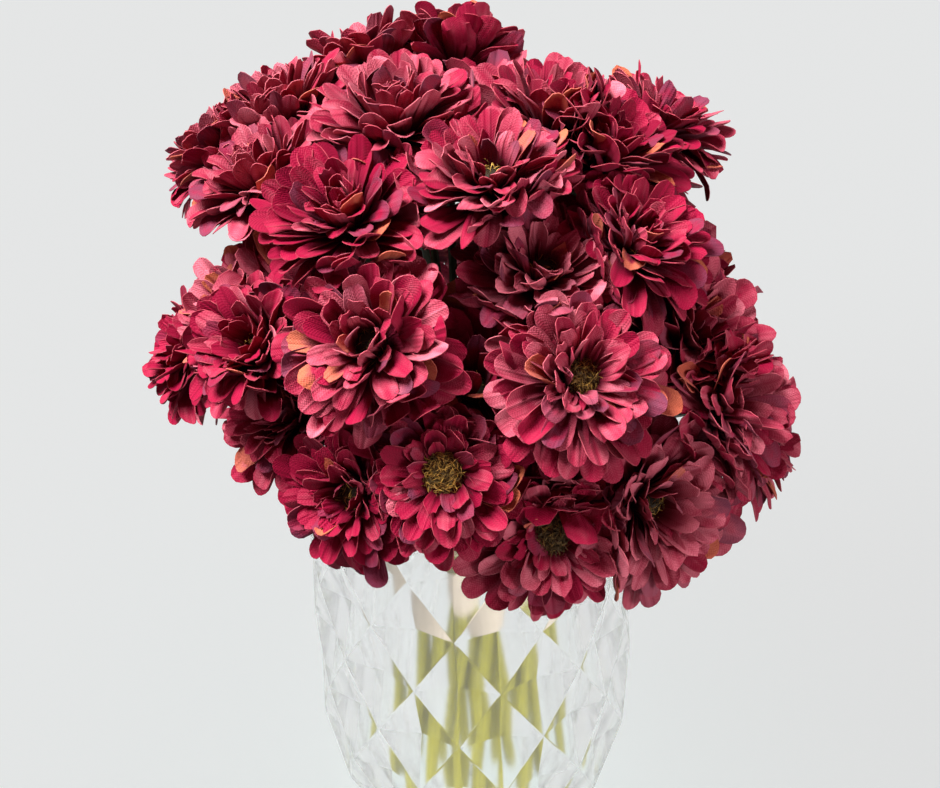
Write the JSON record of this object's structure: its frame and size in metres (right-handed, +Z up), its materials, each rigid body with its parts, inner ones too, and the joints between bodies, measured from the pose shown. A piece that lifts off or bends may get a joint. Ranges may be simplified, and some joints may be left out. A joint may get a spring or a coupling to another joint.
{
  "type": "bouquet of daisies in a glass vase",
  "caption": "Round bouquet of burgundy fabric daisies on branched green stems, held by a wrap band in a diamond-cut clear glass vase.",
  "frame": {"origin": "centre of the vase's flat foot, on the surface that it stands on", "axes": "+Z up along the vase's axis, -Y towards the front, +X to the right seen from the front"},
  "size_m": [0.2287, 0.2437, 0.3318],
  "materials": {
    "clear_glass": "polished",
    "beige_tape": "matte",
    "green_plastic": "satin",
    "burgundy_fabric": "matte"
  },
  "bodies": {
    "root": {"glass_vase": "clear_glass", "stem_wrap": "beige_tape", "spray_back": "green_plastic", "spray_back_left": "green_plastic", "spray_back_right": "green_plastic", "spray_centre": "green_plastic", "spray_front": "green_plastic", "spray_front_left": "green_plastic", "spray_front_right": "green_plastic", "daisy_back_1": "burgundy_fabric", "daisy_back_2": "burgundy_fabric", "daisy_back_3": "burgundy_fabric", "daisy_back_4": "burgundy_fabric", "daisy_back_5": "burgundy_fabric", "daisy_back_6": "burgundy_fabric", "daisy_back_left_1": "burgundy_fabric", "daisy_back_left_2": "burgundy_fabric", "daisy_back_left_3": "burgundy_fabric", "daisy_back_left_4": "burgundy_fabric", "daisy_back_left_5": "burgundy_fabric", "daisy_back_right_1": "burgundy_fabric", "daisy_back_right_2": "burgundy_fabric", "daisy_back_right_3": "burgundy_fabric", "daisy_back_right_4": "burgundy_fabric", "daisy_back_right_5": "burgundy_fabric", "daisy_back_right_6": "burgundy_fabric", "daisy_back_right_7": "burgundy_fabric", "daisy_centre_1": "burgundy_fabric", "daisy_centre_2": "burgundy_fabric", "daisy_centre_3": "burgundy_fabric", "daisy_centre_4": "burgundy_fabric", "daisy_centre_5": "burgundy_fabric", "daisy_centre_6": "burgundy_fabric", "daisy_centre_7": "burgundy_fabric", "daisy_front_1": "burgundy_fabric", "daisy_front_2": "burgundy_fabric", "daisy_front_3": "burgundy_fabric", "daisy_front_4": "burgundy_fabric", "daisy_front_5": "burgundy_fabric", "daisy_front_6": "burgundy_fabric", "daisy_front_7": "burgundy_fabric", "daisy_front_8": "burgundy_fabric", "daisy_front_left_1": "burgundy_fabric", "daisy_front_left_2": "burgundy_fabric", "daisy_front_left_3": "burgundy_fabric", "daisy_front_left_4": "burgundy_fabric", "daisy_front_left_5": "burgundy_fabric", "daisy_front_left_6": "burgundy_fabric", "daisy_front_left_7": "burgundy_fabric", "daisy_front_left_8": "burgundy_fabric", "daisy_front_right_1": "burgundy_fabric", "daisy_front_right_2": "burgundy_fabric", "daisy_front_right_3": "burgundy_fabric", "daisy_front_right_4": "burgundy_fabric", "daisy_front_right_5": "burgundy_fabric", "daisy_front_right_6": "burgundy_fabric", "daisy_front_right_7": "burgundy_fabric"}
  },
  "joints": []
}
